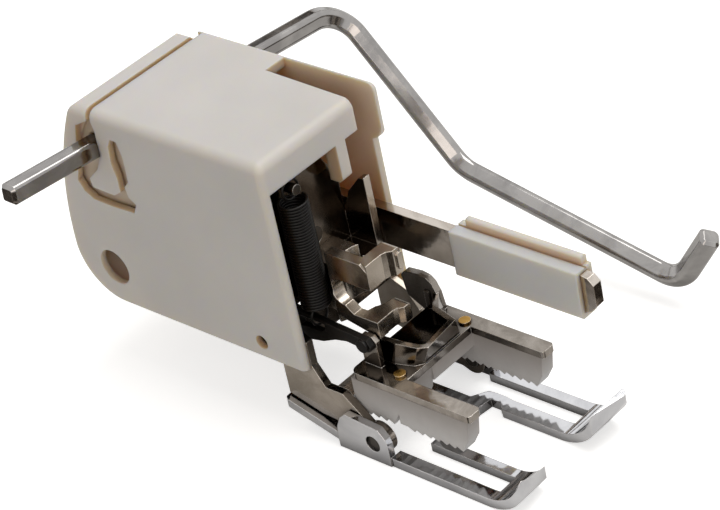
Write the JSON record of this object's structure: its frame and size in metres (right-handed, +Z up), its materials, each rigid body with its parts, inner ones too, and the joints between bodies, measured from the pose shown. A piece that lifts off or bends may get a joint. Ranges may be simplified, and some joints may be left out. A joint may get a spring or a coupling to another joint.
{
  "type": "sewing machine presser foot",
  "caption": "Low-shank walking presser foot: side clamp for the presser bar, open-toe tilting sole, sprung rubber feed, lifting lever and a sliding fabric guide bar.",
  "frame": {"origin": "on the presser bar's axis, at the height of the clamp screw notch", "axes": "+X to the operator's right, +Y to the back, +Z up along the presser bar; the toes point to -Y"},
  "size_m": [0.0615, 0.0737, 0.0406],
  "materials": {
    "cream_plastic": "moulded, satin",
    "nickel": "bright nickel plate",
    "plain_steel": "plain machined steel",
    "chrome": "polished chrome plate",
    "grey_rubber": "matt moulded rubber",
    "brass": "bright",
    "black_steel": "blackened steel"
  },
  "bodies": {
    "frame_body": {"housing": "cream_plastic", "frame": "nickel", "shank": "nickel", "shank_rivets": "plain_steel", "sole_pins": "chrome", "slide_rod": "plain_steel", "walk_spring": "black_steel", "lift_spring": "black_steel", "spring_post": "plain_steel"},
    "sole_body": {"sole": "chrome"},
    "slide_body": {"feed_block": "black_steel", "block_washers": "plain_steel"},
    "feed_body": {"feed_carrier": "nickel", "feed_pad": "grey_rubber", "carrier_rivets": "brass", "drive_link": "black_steel", "link_rivet": "black_steel"},
    "lever_body": {"lifting_lever": "nickel", "lever_sleeve": "cream_plastic", "lever_shaft": "plain_steel", "lift_crank": "plain_steel", "shaft_clip": "black_steel", "lever_spacer": "brass"},
    "guide_body": {"guide_bar": "chrome"}
  },
  "joints": [
    {"name": "lever_swing", "type": "hinge", "parent": "frame_body", "child": "lever_body", "pos_m": [0, 0.027, -0.001], "axis": [-1, 0, 0], "range_deg": [0, 40]},
    {"name": "feed_walk", "type": "slide", "parent": "frame_body", "child": "slide_body", "axis": [0, 1, 0], "range_m": [0, 0.004], "stiffness_N_per_m": 60, "springref_m": -0.004, "deforming": ["walk_spring", "lift_spring"]},
    {"name": "feed_lift", "type": "slide", "parent": "slide_body", "child": "feed_body", "axis": [0, 0, -1], "range_m": [0, 0.0052], "stiffness_N_per_m": 10, "springref_m": -0.006, "deforming": ["lift_spring"]},
    {"name": "sole_tilt", "type": "hinge", "parent": "frame_body", "child": "sole_body", "pos_m": [0, -0.00588, -0.0174], "axis": [-1, 0, 0], "range_deg": [0, 10]},
    {"name": "guide_slide", "type": "slide", "parent": "frame_body", "child": "guide_body", "axis": [0.9956, 0, -0.0936], "range_m": [-0.014, 0.012]}
  ],
  "couplings": [
    {"joint": "feed_lift", "follows": "lever_swing", "m_per_rad": 0.00744}
  ]
}
